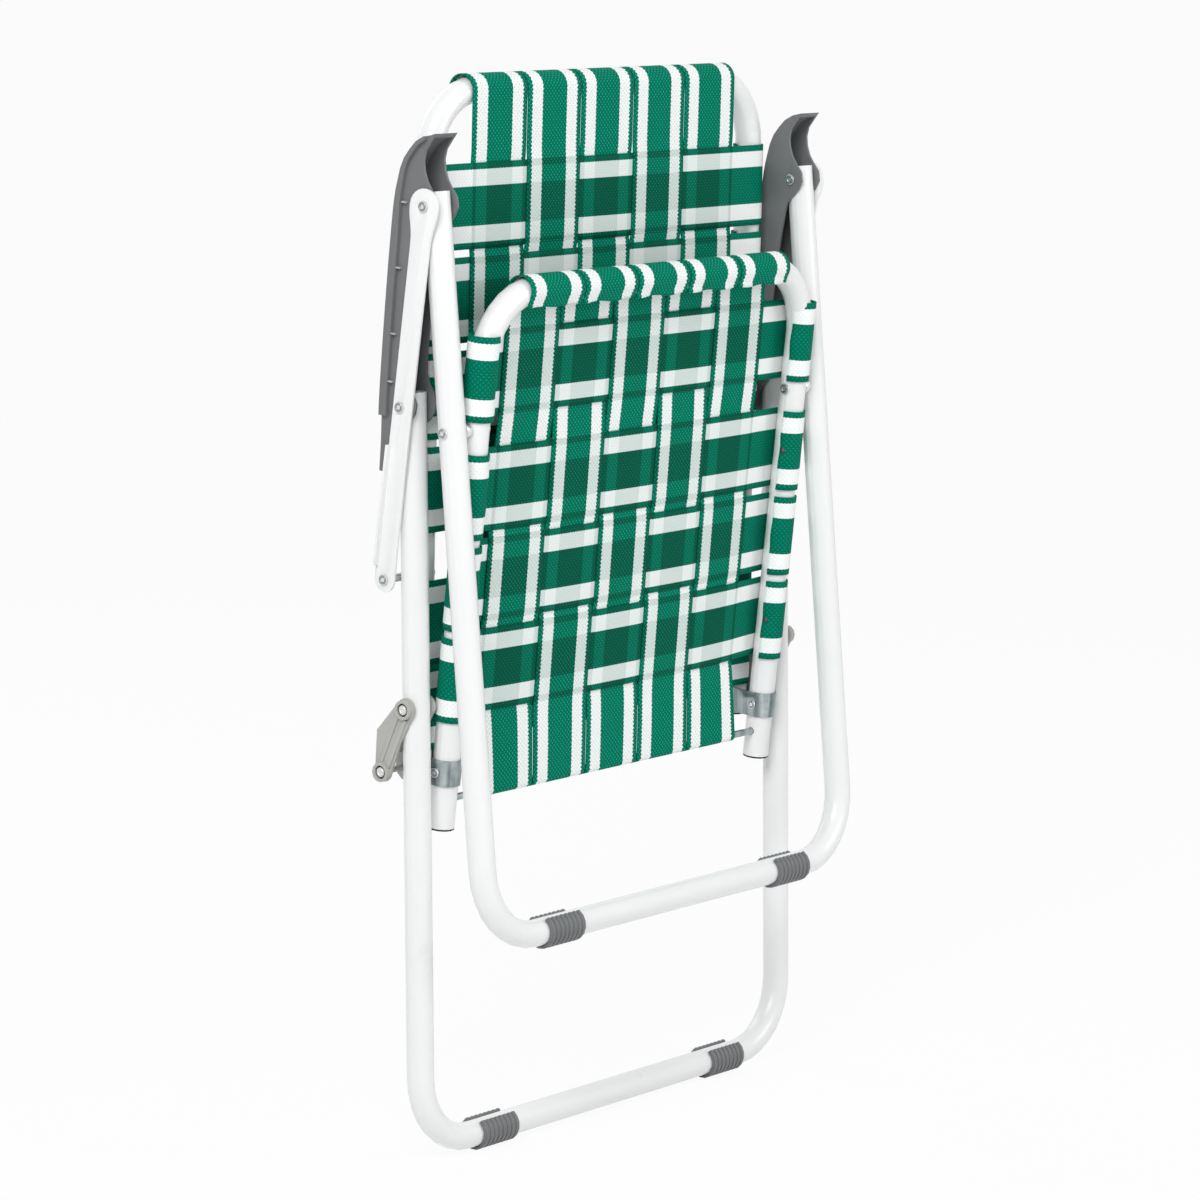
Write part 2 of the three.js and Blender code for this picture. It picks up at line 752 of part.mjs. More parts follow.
function buildLink(name, sign) {
  const outerFace = sign * (halfLeg + flankInner + runningGap);
  const outerBack = outerFace + sign * linkPlate;
  const innerFace = sign * (halfLeg - flankInner);
  const innerBack = innerFace - sign * linkPlate;
  let made = slab(linkPlateShape(), outerFace, outerBack, linkPivot, linkLean);
  made = made.add(slab(linkPlateShape(), innerFace, innerBack, linkPivot, linkLean));
  made = made.add(slab(linkBridgeShape(), outerBack, innerBack, linkPivot, linkLean));
  const bossOut = outerBack + sign * linkBossHeight;
  const ribFoot = outerBack - sign * runningGap;
  const ribTop = outerBack + sign * linkRibHeight;
  const groove = slab(linkBandShape(linkGrooveWidth), ribTop - sign * linkGrooveDepth,
    ribTop + sign * cutOverrun, linkPivot, linkLean);
  made = made.add(slab(linkBandShape(linkRibWidth), ribFoot, ribTop, linkPivot, linkLean)).subtract(groove);
  [linkPivot, hinge].forEach((pivot) => {
    const radius = linkBossDiameter / 2 - linkBossStep;
    made = made.add(solid(rodAlongX(outerBack - sign * runningGap, bossOut, pivot, radius)));
    const recess = rodAlongX(bossOut - sign * linkRecess, bossOut + sign * cutOverrun, pivot, linkRecessRadius);
    made = made.subtract(solid(recess));
    made = drill(made, innerBack - sign * cutOverrun, bossOut, pivot, rivetDiameter);
  });
  place("folding_link_" + name, made, lightPlastic);

  const headFace = bossOut - sign * linkRecess;
  const upper = rivet(innerBack, headFace, linkPivot, linkRivetHead);
  place("link_upper_rivet_" + name, upper, zincSteel);
  const lowerEnd = headFace + sign * (runningGap + rivetHeadThickness);
  const lower = solid(rodAlongX(innerBack, lowerEnd, hinge, rivetDiameter / 2));
  const lowerHead = solid(rodAlongX(headFace + sign * runningGap, lowerEnd, hinge, linkRivetHead / 2));
  place("link_lower_pin_" + name, lower.add(lowerHead), zincSteel);
}

// The hinge brackets: a strap of galvanised steel round the seat tube, with flanks back to the hinge
function buildBracket(name, sign) {
  const mid = tubeRadius + runningGap + bracketThickness / 2;
  const reach = distance(seatAtHinge, hinge);
  const line = arcPoints(0, 0, mid, -Math.PI, 0, wrapSteps);
  line.unshift(new THREE.Vector2(-mid, reach));
  line.push(new THREE.Vector2(mid, reach));
  const strap = new THREE.ExtrudeGeometry(bandShape(line, bracketThickness), {
    depth: bracketHeight,
    bevelEnabled: false,
  });
  strap.translate(0, 0, -bracketHeight / 2);
  let made = solid(leaned(strap, seatAtHinge, seatLean)).translate([sign * halfBody, 0, 0]);
  const outer = mid + bracketThickness / 2;
  const x0 = sign * halfBody - outer - cutOverrun;
  const x1 = sign * halfBody + outer + cutOverrun;
  [-1, 1].forEach((flank) => {
    const face = sign * halfBody + flank * outer;
    const end = rodAlongX(face - flank * bracketThickness, face, hinge, bracketEndRadius);
    made = made.add(solid(end));
  });
  made = drill(made, x0, x1, seatAtHinge, rivetDiameter);
  made = drill(made, x0, x1, hinge, rivetDiameter);
  place("hinge_bracket_" + name, made, zincSteel);
  const low = sign * halfBody - outer;
  const high = sign * halfBody + outer;
  place("bracket_rivet_" + name, rivet(low, high, seatAtHinge, bracketRivetHead), zincSteel);
  place("hinge_pin_" + name, rivet(low, high, hinge, bracketRivetHead), zincSteel);
}

// The ribbed clips pushed over the foot bars from below, open above
function clipRing(x0, x1, at, inner, outer, openLean) {
  const half = rad(clipOpeningDegrees) / 2;
  const start = Math.PI / 2 + half;
  const end = Math.PI * 2.5 - half;
  const outside = arcPoints(0, 0, outer, start, end, clipFlats);
  const inside = arcPoints(0, 0, inner, end, start, clipFlats);
  return slab(new THREE.Shape([...outside, ...inside]), x0, x1, at, openLean);
}

function buildClip(name, sign, at, lean) {
  const centre = sign * (halfLeg - bendRadius - clipEndInset / 2);
  const low = centre - clipLength / 2;
  const bore = tubeRadius + 2 * runningGap;
  const skin = bore + clipWall;
  const mid = bore + clipWall / 2;
  let made = clipRing(low, low + clipLength, at, bore, skin, lean);
  const pitch = clipLength / clipRibCount;
  for (let i = 0; i < clipRibCount; i += 1) {
    const x0 = low + (i + clipRibGapShare / 2) * pitch;
    const x1 = x0 + pitch * (1 - clipRibGapShare);
    made = made.add(clipRing(x0, x1, at, mid, skin + clipRibHeight, lean));
  }
  place(name, made, greyPlastic);
}

sides.forEach(({ name, sign }) => {
  buildArmrest(name, sign);
  buildArmBar(name, sign);
  buildArmRivets(name, sign);
  buildSeatPivot(name, sign);
  buildLink(name, sign);
  buildBracket(name, sign);
  buildCap("seat_end_cap_" + name, sign, seatEnd, seatLean);
  buildCap("back_end_cap_" + name, sign, backEnd, backLean);
  buildClip("rear_foot_clip_" + name, sign, rearFoot, 0);
  buildClip("front_foot_clip_" + name, sign, frontFoot, frontLegLean);
});

// The origin goes to the floor under the middle of the folded chair
const box = new THREE.Box3().setFromObject(chair);
const middle = box.getCenter(new THREE.Vector3());
chair.position.set(-middle.x, -middle.y, -box.min.z);

export default chair;
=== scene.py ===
# Folding webbed lawn chair, folded flat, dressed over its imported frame.
import json
import math
import bmesh
import bpy
from mathutils import Matrix, Vector


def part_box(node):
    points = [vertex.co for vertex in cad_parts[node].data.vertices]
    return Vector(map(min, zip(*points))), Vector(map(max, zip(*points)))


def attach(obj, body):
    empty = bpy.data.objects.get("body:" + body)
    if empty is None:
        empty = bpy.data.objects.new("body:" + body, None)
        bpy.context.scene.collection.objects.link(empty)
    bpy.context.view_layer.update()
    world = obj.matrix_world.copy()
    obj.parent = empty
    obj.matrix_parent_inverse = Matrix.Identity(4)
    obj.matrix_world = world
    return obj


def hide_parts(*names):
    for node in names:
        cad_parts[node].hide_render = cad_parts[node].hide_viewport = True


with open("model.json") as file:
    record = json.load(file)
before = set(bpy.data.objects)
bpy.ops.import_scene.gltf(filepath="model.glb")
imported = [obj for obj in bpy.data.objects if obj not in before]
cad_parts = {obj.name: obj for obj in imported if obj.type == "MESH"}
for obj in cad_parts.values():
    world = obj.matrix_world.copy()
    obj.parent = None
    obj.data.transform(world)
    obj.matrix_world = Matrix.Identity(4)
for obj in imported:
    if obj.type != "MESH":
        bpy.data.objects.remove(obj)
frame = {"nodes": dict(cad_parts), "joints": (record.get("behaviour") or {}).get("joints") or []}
nodes = frame["nodes"]
pivots = {joint["name"]: joint["pos_m"] for joint in frame["joints"]}
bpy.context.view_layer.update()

# The view. A long lens a little above the armrests, to the left of the folded chair, so that the
# underside of the seat faces it with the back rest behind.
camera_data = bpy.data.cameras.new("view")
camera_data.lens = 146
camera_data.sensor_width = 36
camera_data.clip_end = 300
camera = bpy.data.objects.new("view", camera_data)
bpy.context.scene.collection.objects.link(camera)
bpy.context.scene.camera = camera
camera_turn = math.radians(52.2)
camera_dip = math.radians(8.05)
camera.location = (-3.146, -2.411, 0.992)
looking = Vector((
    math.sin(camera_turn) * math.cos(camera_dip),
    math.cos(camera_turn) * math.cos(camera_dip),
    -math.sin(camera_dip),
))
camera.rotation_euler = looking.to_track_quat("-Z", "Y").to_euler()


# The studio. A pale floor that runs out to white, two large soft lamps in front of the chair and a
# weak one behind. The floor and the air show white to the camera and in reflections alone.
def linear(code):
    """A colour written as sRGB hex, turned to the linear values that a shader takes."""
    parts = [int(code[i:i + 2], 16) / 255 for i in (1, 3, 5)]
    return (*[p / 12.92 if p <= 0.04045 else ((p + 0.055) / 1.055) ** 2.4 for p in parts], 1.0)


def add(tree, kind, values=None, links=None, **settings):
    """Adds a node with its settings, the values of its sockets and the links into them."""
    made = tree.nodes.new(kind)
    for name, value in settings.items():
        setattr(made, name, value)
    for socket, value in (values or {}).items():
        made.inputs[socket].default_value = value
    for socket, source in (links or {}).items():
        tree.links.new(source, made.inputs[socket])
    return made


def empty_material(name):
    made = bpy.data.materials.new(name)
    made.use_nodes = True
    made.node_tree.nodes.clear()
    return made, made.node_tree


def seen_share(tree):
    """1 for what the camera sees, straight or in a gloss or through glass, and 0 for light cast."""
    path = add(tree, "ShaderNodeLightPath").outputs
    straight = {0: path["Is Camera Ray"], 1: path["Is Glossy Ray"]}
    gloss = add(tree, "ShaderNodeMath", links=straight, operation="ADD")
    through = {0: gloss.outputs[0], 1: path["Is Transmission Ray"]}
    return add(tree, "ShaderNodeMath", links=through, operation="ADD", use_clamp=True).outputs[0]


def to_object(made, name, material):
    """Turns a finished bmesh to a smooth object in the scene."""
    for face in made.faces:
        face.smooth = True
    data = bpy.data.meshes.new(name)
    made.to_mesh(data)
    made.free()
    data.materials.append(material)
    obj = bpy.data.objects.new(name, data)
    bpy.context.scene.collection.objects.link(obj)
    return obj


world = bpy.data.worlds.new("studio air")
bpy.context.scene.world = world
world.use_nodes = True
world.node_tree.nodes.clear()
air = world.node_tree
lit = add(air, "ShaderNodeBackground", {"Color": linear("#F4F6F8"), "Strength": 0.52})
seen = add(air, "ShaderNodeBackground", {"Color": linear("#FFFFFF"), "Strength": 1.0})
both = add(air, "ShaderNodeMixShader", links={0: seen_share(air), 1: lit.outputs[0], 2: seen.outputs[0]})
add(air, "ShaderNodeOutputWorld", links={"Surface": both.outputs[0]})

floor_half = 120
floor_glow_share = 0.93
floor_paint, tree = empty_material("pale floor paint")
matt = add(tree, "ShaderNodeBsdfDiffuse", {"Color": linear("#F2F2F2")})
glow = add(tree, "ShaderNodeEmission", {"Color": linear("#FFFFFF"), "Strength": 1.0})
glow_share = add(tree, "ShaderNodeMath", {1: floor_glow_share}, {0: seen_share(tree)}, operation="MULTIPLY")
both = add(
    tree, "ShaderNodeMixShader",
    links={0: glow_share.outputs[0], 1: matt.outputs[0], 2: glow.outputs[0]},
)
add(tree, "ShaderNodeOutputMaterial", links={"Surface": both.outputs[0]})
floor_mesh = bmesh.new()
bmesh.ops.create_grid(floor_mesh, x_segments=1, y_segments=1, size=floor_half)
to_object(floor_mesh, "floor", floor_paint)
bpy.context.scene.view_settings.view_transform = "Standard"

lamp_size = 1.6
lit_point = Vector((0, 0, 0.45))
for name, place, watts in (
    ("front lamp", (-2.6, -1.2, 2.6), 70),
    ("right lamp", (1.4, -2.8, 1.6), 26),
    ("back lamp", (0.6, 2.6, 2.2), 16),
):
    lamp_data = bpy.data.lights.new(name, "AREA")
    lamp_data.size = lamp_size
    lamp_data.energy = watts
    lamp = bpy.data.objects.new(name, lamp_data)
    lamp.location = place
    lamp.rotation_euler = (lit_point - Vector(place)).to_track_quat("-Z", "Y").to_euler()
    bpy.context.scene.collection.objects.link(lamp)


# The four frames and the arm bars. Thin steel tube bent to a U, and flat steel strip, both with a
# baked white powder coat that levels to a gloss with a faint ripple.
def finish_node(node, material, edge=0.0):
    """Smooths a made-up CAD piece, rounds its corners by edge in metres and gives it a material."""
    corner = math.radians(35)
    obj = nodes[node]
    obj.data.polygons.foreach_set("use_smooth", [True] * len(obj.data.polygons))
    weld = obj.modifiers.new("weld", "WELD")
    weld.merge_threshold = 0.00001
    if edge:
        bevel = obj.modifiers.new("edge", "BEVEL")
        bevel.width = edge
        bevel.segments = 2
        bevel.limit_method = "ANGLE"
        bevel.angle_limit = corner
    split = obj.modifiers.new("split", "EDGE_SPLIT")
    split.split_angle = corner
    obj.data.materials.clear()
    obj.data.materials.append(material)


def mix(tree, share, first, second, **settings):
    """A colour between two. Each is a hex code or a socket, and share is a number or a socket."""
    values, links = {}, {}
    for socket, given in ((0, share), (6, first), (7, second)):
        if isinstance(given, str):
            values[socket] = linear(given)
        elif isinstance(given, float):
            values[socket] = given
        else:
            links[socket] = given
    return add(tree, "ShaderNodeMix", values, links, data_type="RGBA", **settings).outputs[2]


def noise(tree, where, scale, detail):
    """Clouds of that many bumps a metre. Its outputs are a share and a colour."""
    return add(tree, "ShaderNodeTexNoise", {"Scale": scale, "Detail": detail}, {"Vector": where}).outputs


def between(tree, source, low, high):
    return add(tree, "ShaderNodeMapRange", {"To Min": low, "To Max": high}, {"Value": source}).outputs[0]


def bumps(tree, height, strength, distance=0.0002):
    """Relief in a surface, of that many metres at most."""
    values = {"Strength": strength, "Distance": distance}
    return add(tree, "ShaderNodeBump", values, {"Height": height}).outputs[0]


def surface(tree, values, links):
    shader = add(tree, "ShaderNodeBsdfPrincipled", values, links)
    add(tree, "ShaderNodeOutputMaterial", links={"Surface": shader.outputs[0]})


powder_coat, tree = empty_material("white powder-coated steel")
where = add(tree, "ShaderNodeTexCoord").outputs["Object"]
ripple = noise(tree, where, 420.0, 2.0)
drift = noise(tree, where, 9.0, 3.0)
surface(tree, {"Coat Weight": 0.35, "Coat Roughness": 0.12, "IOR": 1.5}, {
    "Base Color": mix(tree, drift[0], "#E9EAEA", "#F1F1F0"),
    "Roughness": between(tree, drift[0], 0.24, 0.34),
    "Normal": bumps(tree, ripple[0], 0.05),
})
for node in ("rear_leg_frame", "front_leg_frame", "seat_frame", "back_frame"):
    finish_node(node, powder_coat)
for node in ("arm_bar_left", "arm_bar_right"):
    finish_node(node, powder_coat, 0.0005)


# The two rods, the hinge pins and the hinge brackets. Galvanised steel rod, and strip pressed round
# the seat's tubes, with the cloudy grey crystals that the zinc leaves.
zinc, tree = empty_material("galvanised steel")
where = add(tree, "ShaderNodeTexCoord").outputs["Object"]
crystals = add(tree, "ShaderNodeTexVoronoi", {"Scale": 260.0}, {"Vector": where})
cloud = noise(tree, where, 90.0, 4.0)
grain = mix(tree, 0.5, crystals.outputs["Color"], cloud["Color"])
plain = mix(tree, grain, "#A3ADAE", "#C9D0D1")
# Painted reflections: brighter and darker bands that run up the strip, standing in for the studio mirrored
# in the curved metal
stretched_up = add(tree, "ShaderNodeMapping", {"Scale": (1.0, 1.0, 0.05)}, {"Vector": where})
reflection_bands = noise(tree, stretched_up.outputs[0], 120.0, 2.0)
reflection_share = add(tree, "ShaderNodeMapRange", {"From Min": 0.4, "From Max": 0.62}, {"Value": reflection_bands[0]})
painted_reflection = mix(tree, reflection_share.outputs[0], "#9EAAAC", "#FFFFFF")
surface(tree, {"Metallic": 0.9}, {
    "Base Color": mix(tree, 0.8, plain, painted_reflection, blend_type="MULTIPLY"),
    "Roughness": between(tree, cloud[0], 0.24, 0.36),
    "Normal": bumps(tree, cloud[0], 0.05),
})
for node in ("seat_rear_rod", "back_lower_rod"):
    finish_node(node, zinc)
for kind in ("hinge_pin", "hinge_bracket"):
    for side in ("left", "right"):
        finish_node(f"{kind}_{side}", zinc, 0.0003)


# Rivets. Nickel-plated steel, bright and smooth, with the raised ring and sunken middle that the setting
# tool leaves in each head. The ring is its own piece, pressed onto the head's outer face, and on all but
# the links' rivets it is drawn in a darker copy of the nickel, as painted shade.
def end_of(node, away):
    """The middle of a node's end face on the side that away points to, -1 for left and 1 for right."""
    low, high = [Vector(corner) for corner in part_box(node)]
    middle = (low + high) / 2
    middle.x = low.x if away < 0 else high.x
    return middle


def spin_ring(name, section, foot, away, material, body):
    """Spins a closed half section of (radius, rise) round the X axis through foot, rising to away."""
    ring = bmesh.new()
    verts = [ring.verts.new((foot.x + away * rise, foot.y, foot.z + radius)) for radius, rise in section]
    edges = [ring.edges.new(pair) for pair in zip(verts, verts[1:] + verts[:1])]
    bmesh.ops.spin(
        ring, geom=verts + edges, cent=foot, axis=(1, 0, 0), angle=2 * math.pi, steps=24,
        use_merge=True, use_duplicate=False,
    )
    bmesh.ops.remove_doubles(ring, verts=ring.verts, dist=0.000001)
    bmesh.ops.recalc_face_normals(ring, faces=ring.faces)
    obj = to_object(ring, name, material)
    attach(obj, body)


nickel, tree = empty_material("nickel-plated steel")
cloud = noise(tree, add(tree, "ShaderNodeTexCoord").outputs["Object"], 500.0, 3.0)
surface(tree, {"Metallic": 0.75}, {
    "Base Color": mix(tree, cloud[0], "#CDD0CF", "#ECEEED"),
    "Roughness": between(tree, cloud[0], 0.16, 0.3),
})
# A darker copy of the nickel: painted shade for the rings round the rivet heads
shaded_nickel, tree = empty_material("nickel-plated steel, darkened as painted shade")
cloud = noise(tree, add(tree, "ShaderNodeTexCoord").outputs["Object"], 500.0, 3.0)
shaded_nickel_tone = mix(tree, cloud[0], "#878C8C", "#A4A9A8")
surface(tree, {"Metallic": 0.85, "Roughness": 0.3}, {"Base Color": shaded_nickel_tone})

rivet_head = 0.0045
small_head = 0.004
# Ring's half section, from its inner foot over the crown: shares of the head's radius, and rises
ring_section = [(0.38, -0.0002), (0.44, 0.0004), (0.6, 0.0007), (0.76, 0.0005), (0.86, -0.0002)]
# Each kind's body, the radius of its heads, and which of its heads are seen
for kind, body, head, seen_heads in (
    ("arm_front_rivet", "arms", rivet_head, ("outer", "inner")),
    ("arm_middle_rivet", "arms", rivet_head, ("outer",)),
    ("arm_rear_rivet", "arms", rivet_head, ("outer",)),
    ("seat_pivot_rivet", "front_legs", rivet_head, ("outer",)),
    ("seat_pivot_spacer", "seat", rivet_head, ("inner",)),
    ("link_upper_rivet", "links", small_head, ("outer",)),
    ("link_lower_pin", "links", small_head, ("outer",)),
    ("bracket_rivet", "seat", small_head, ("outer", "inner")),
):
    # Rings on the links' rivets stay bright, and the rest take the darker nickel as painted shade
    metal = nickel if kind.startswith("link") else shaded_nickel
    section = [(head * share, rise) for share, rise in ring_section]
    for side, outwards in (("left", -1), ("right", 1)):
        node = f"{kind}_{side}"
        finish_node(node, nickel, 0.0003)
        if "outer" in seen_heads:
            foot = end_of(node, outwards)
            spin_ring(f"{kind}_ring_{side}", section, foot, outwards, metal, body)
        if "inner" in seen_heads:
            foot = end_of(node, -outwards)
            spin_ring(f"{kind}_inner_ring_{side}", section, foot, -outwards, metal, body)


# Armrests and foot clips in mid grey, links in light grey and end caps in black: moulded plastic
# with a fine sparked texture from the mould.
def moulded(name, dark, light, low, high):
    made, tree = empty_material(name)
    where = add(tree, "ShaderNodeTexCoord").outputs["Object"]
    spark = noise(tree, where, 900.0, 2.0)
    drift = noise(tree, where, 22.0, 3.0)
    surface(tree, {"IOR": 1.46}, {
        "Base Color": mix(tree, drift[0], dark, light),
        "Roughness": between(tree, spark[0], low, high),
        "Normal": bumps(tree, spark[0], 0.15),
    })
    return made


grey_plastic = moulded("moulded grey plastic", "#66686A", "#747677", 0.42, 0.56)
light_plastic = moulded("moulded light grey plastic", "#A9A9A4", "#B6B6B1", 0.4, 0.52)
black_plastic = moulded("moulded black plastic", "#161616", "#222222", 0.5, 0.62)
for kind, material, edge in (
    ("armrest", grey_plastic, 0.0008),
    ("rear_foot_clip", grey_plastic, 0.0002),
    ("front_foot_clip", grey_plastic, 0.0002),
    ("folding_link", light_plastic, 0.0005),
    ("seat_end_cap", black_plastic, 0.0003),
    ("back_end_cap", black_plastic, 0.0003),
):
    for side in ("left", "right"):
        finish_node(f"{kind}_{side}", material, edge)


# Dark rings in the bosses of the links, as painted shade: black rings that lie round each rivet's head on
# the floor of the boss's recess, and stand for the shadow in the recess as a dark line between the bright
# head and the grey boss.
shade_ring_depth = 0.00248
shade_ring_section = [
    (0.00412, 0), (0.00412, 0.0006), (0.0043, 0.0008), (0.0052, 0.0008), (0.00538, 0.0006), (0.00538, 0),
]
for side, outwards in (("left", -1), ("right", 1)):
    for kind in ("link_upper_rivet", "link_lower_pin"):
        foot = end_of(f"{kind}_{side}", outwards)
        foot.x = end_of(f"folding_link_{side}", outwards).x - outwards * shade_ring_depth
        name = f"{kind}_shade_ring_{side}"
        spin_ring(name, shade_ring_section, foot, outwards, black_plastic, "links")


# Ribs on the outer sides of the armrests. Thin webs of the same moulding, which stiffen the lip along the
# top and show as pale ticks in the groove between it and the arm bar. They are drawn in the light grey
# plastic of the links, a painted highlight on their lit edges, where the armrest is mid grey.
rib_size = (0.0038, 0.0045, 0.0013)
rib_off_middle = 0.2572
arm_lean = math.radians(8.2)
# Distance down from the front rivet, and back from the line of the rivets to the lip, in metres
rib_places = ((0.0, 0.0222), (0.0515, 0.0212), (0.1034, 0.0191), (0.141, 0.0171))
rib_sink = 0.0022
for side, outwards in (("left", -1), ("right", 1)):
    ribs = bmesh.new()
    for down, back in rib_places:
        lump = bmesh.ops.create_cube(ribs, size=1.0)["verts"]
        bmesh.ops.scale(ribs, verts=lump, vec=rib_size)
        bmesh.ops.translate(ribs, verts=lump, vec=(outwards * rib_off_middle, back - rib_sink, -down))
    lean = Matrix.Rotation(arm_lean, 3, "X")
    bmesh.ops.rotate(ribs, verts=ribs.verts, cent=(0, 0, 0), matrix=lean)
    bmesh.ops.translate(ribs, verts=ribs.verts, vec=pivots["front_leg_pivot"])
    bmesh.ops.bevel(
        ribs, geom=ribs.edges[:], offset=0.0003, segments=2, profile=0.5, affect="EDGES", material=-1,
    )
    obj = to_object(ribs, f"armrest_ribs_{side}", light_plastic)
    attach(obj, "arms")


# The webbing. Flat straps of woven plastic yarn, green in the middle and at both edges with white
# between, cut to length, woven over and under one another and wrapped round tube and rod.
strap_width = 0.068
strap_thickness = 0.0010


def woven(name, pick_step, point_share):
    """Webbing material: pick_step is how far a pick steps the colour edge, in millimetres, and point_share
    how strong the twill's relief and its painted glint are.
    """
    made, tree = empty_material(name)
    width = strap_width * 1000
    # White runs between these distances from the middle of the strap, in millimetres
    white_from = 15.6
    white_to = 28.8
    # Picks, twill and warp ends are drawn this far apart in millimetres, wide enough to show
    pick = 3.2
    twill = 4.2
    warp = 2.4

    def maths(operation, first, second=None):
        """One step of arithmetic on sockets or numbers."""
        values, links = {}, {}
        for socket, given in enumerate((first, second)):
            if isinstance(given, (int, float)):
                values[socket] = given
            elif given is not None:
                links[socket] = given
        return add(tree, "ShaderNodeMath", values, links, operation=operation).outputs[0]

    def stripes(across, along):
        """1 in the white stripes of a strap and 0 in the green, from millimetres across and along it."""
        off_middle = maths("ABSOLUTE", maths("SUBTRACT", across, width / 2))
        tooth = maths("SUBTRACT", maths("PINGPONG", along, pick / 2), pick / 4)
        inner = maths("ADD", off_middle, maths("MULTIPLY", tooth, pick_step / 2))
        outer = maths("ADD", off_middle, maths("MULTIPLY", tooth, pick_step))
        past_inner = maths("GREATER_THAN", inner, white_from)
        return maths("MULTIPLY", past_inner, maths("LESS_THAN", outer, white_to))

    strap_map = add(tree, "ShaderNodeUVMap", uv_map="strap")
    parts = add(tree, "ShaderNodeSeparateXYZ", links={0: strap_map.outputs[0]})
    across = maths("MULTIPLY", parts.outputs[0], width)
    along = maths("MULTIPLY", parts.outputs[1], width)
    pale = stripes(across, along)
    # The yarns cross in a twill, which leaves raised points in slanting rows. Their brightness on the green
    # is a painted glint, and on the white they are painted greyer.
    slant = maths("SINE", maths("MULTIPLY", maths("ADD", across, along), 2 * math.pi / twill))
    counter = maths("SINE", maths("MULTIPLY", maths("SUBTRACT", across, along), 2 * math.pi / twill))
    points = maths("MULTIPLY", maths("ADD", slant, 1.0), maths("ADD", counter, 1.0))
    sharp = maths("POWER", maths("MULTIPLY", points, 0.25), 1.5)
    ends = maths("SINE", maths("MULTIPLY", across, 2 * math.pi / warp))
    relief = maths("ADD", maths("MULTIPLY", sharp, point_share), maths("MULTIPLY", ends, 0.06))
    where = add(tree, "ShaderNodeTexCoord").outputs["Object"]
    drift = noise(tree, where, 30.0, 4.0)
    speck = noise(tree, where, 420.0, 2.0)
    painted_glint = maths("MULTIPLY", relief, maths("ADD", speck[0], 0.5))
    green = mix(tree, painted_glint, "#00664F", "#00C29C")
    green = mix(tree, maths("MULTIPLY", drift[0], 0.3), green, "#00735B")
    white = mix(tree, painted_glint, "#F7F9F8", "#D9E0DD")
    tone = mix(tree, pale, green, white)
    # Painted shade for the light that the yarn lets through: a strap is painted darker where another lies
    # behind it, and darkest where that one is green. The second map says where across the strap behind each
    # place is.
    hidden_map = add(tree, "ShaderNodeUVMap", uv_map="behind")
    hidden = add(tree, "ShaderNodeSeparateXYZ", links={0: hidden_map.outputs[0]})
    hidden_across = maths("MULTIPLY", maths("FRACT", hidden.outputs[0]), width)
    through = mix(tree, pale, "#B4C6C2", "#DEE7E4")
    shade = mix(tree, stripes(hidden_across, across), through, "#F4F8F6")
    shade = mix(tree, maths("GREATER_THAN", hidden.outputs[1], 0.5), "#FFFFFF", shade)
    surface(tree, {"Roughness": 0.65, "Specular IOR Level": 0.05}, {
        "Base Color": mix(tree, 1.0, tone, shade, blend_type="MULTIPLY"),
        "Normal": bumps(tree, relief, 0.6, 0.0004),
    })
    return made


# Two copies of one webbing: the straps across take a smaller step at the colour edge and weaker painted
# glints than those along, whose sheen catches more of the light
webbing_along = woven("woven plastic webbing, along the frame", 0.95, 1.0)
webbing_across = woven("woven plastic webbing, across the frame", 0.3, 0.45)


def lay_strap(name, material, steps, spot, behind, node, body):
    """Lays one strap along spot(step, offset across in metres) and stretches it on its frame."""
    made = bmesh.new()
    strap_map = made.loops.layers.uv.new("strap")
    hidden_map = made.loops.layers.uv.new("behind")
    bmesh.ops.create_grid(made, x_segments=16, y_segments=steps, size=0.5)
    run = [0.0]
    for k in range(steps):
        run.append(run[-1] + (spot(k + 1, 0.0) - spot(k, 0.0)).length)
    for face in made.faces:
        for corner in face.loops:
            at = corner.vert.co
            k = round((at.y + 0.5) * steps)
            corner[strap_map].uv = (at.x + 0.5, run[k] / strap_width)
            corner[hidden_map].uv = behind(k)
    for vert in made.verts:
        vert.co = spot(round((vert.co.y + 0.5) * steps), vert.co.x * strap_width)
    obj = to_object(made, name, material)
    wall = obj.modifiers.new("thickness", "SOLIDIFY")
    wall.thickness = strap_thickness
    wall.offset = 0
    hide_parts(node)
    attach(obj, body)


def smooth_step(t):
    t = min(max(t, 0.0), 1.0)
    return t * t * (3 - 2 * t)


def weave(place, edges, sides, blends):
    """Which side of the sheet a strap lies on at a place: it changes over at each edge."""
    level, value = 0.0, 0.0
    for edge, blend, side in zip(edges, blends, sides + [0.0]):
        value += (side - level) * smooth_step((place - edge) / blend + 0.5)
        level = side
    return value


# The sheets' sizes in metres. Each sheet lies on the side of its frame that is sat on
tube_off = 0.213
wrap_radius = 0.0122
rod_radius = 0.0039
lift = 0.0008
pitch = 0.0696
crossing = 0.014
end_blend = 0.02
above_first = 0.002
below_last = 0.004
cross_wrap = math.radians(262)
cross_end_lift = 0.0009
top_wrap = math.radians(205)
tongue = 0.007
tongue_curl = 0.0028
rod_wrap = math.radians(215)
shortest_foot = 0.03
# The loop of those straps along the back that go round the edge of the lowest row as well
edge_loop_drop = 0.003
edge_loop_depth = 0.002
edge_loop_radius = 0.0064
# Waves in the cut ends, in radians a metre across the strap and from strap to strap
cut_waves = (190, 40)
tongue_waves = (150, 170)
long_centres = [(i - 2) * pitch for i in range(5)]
long_edges = [long_centres[0] - pitch / 2 + pitch * i for i in range(6)]
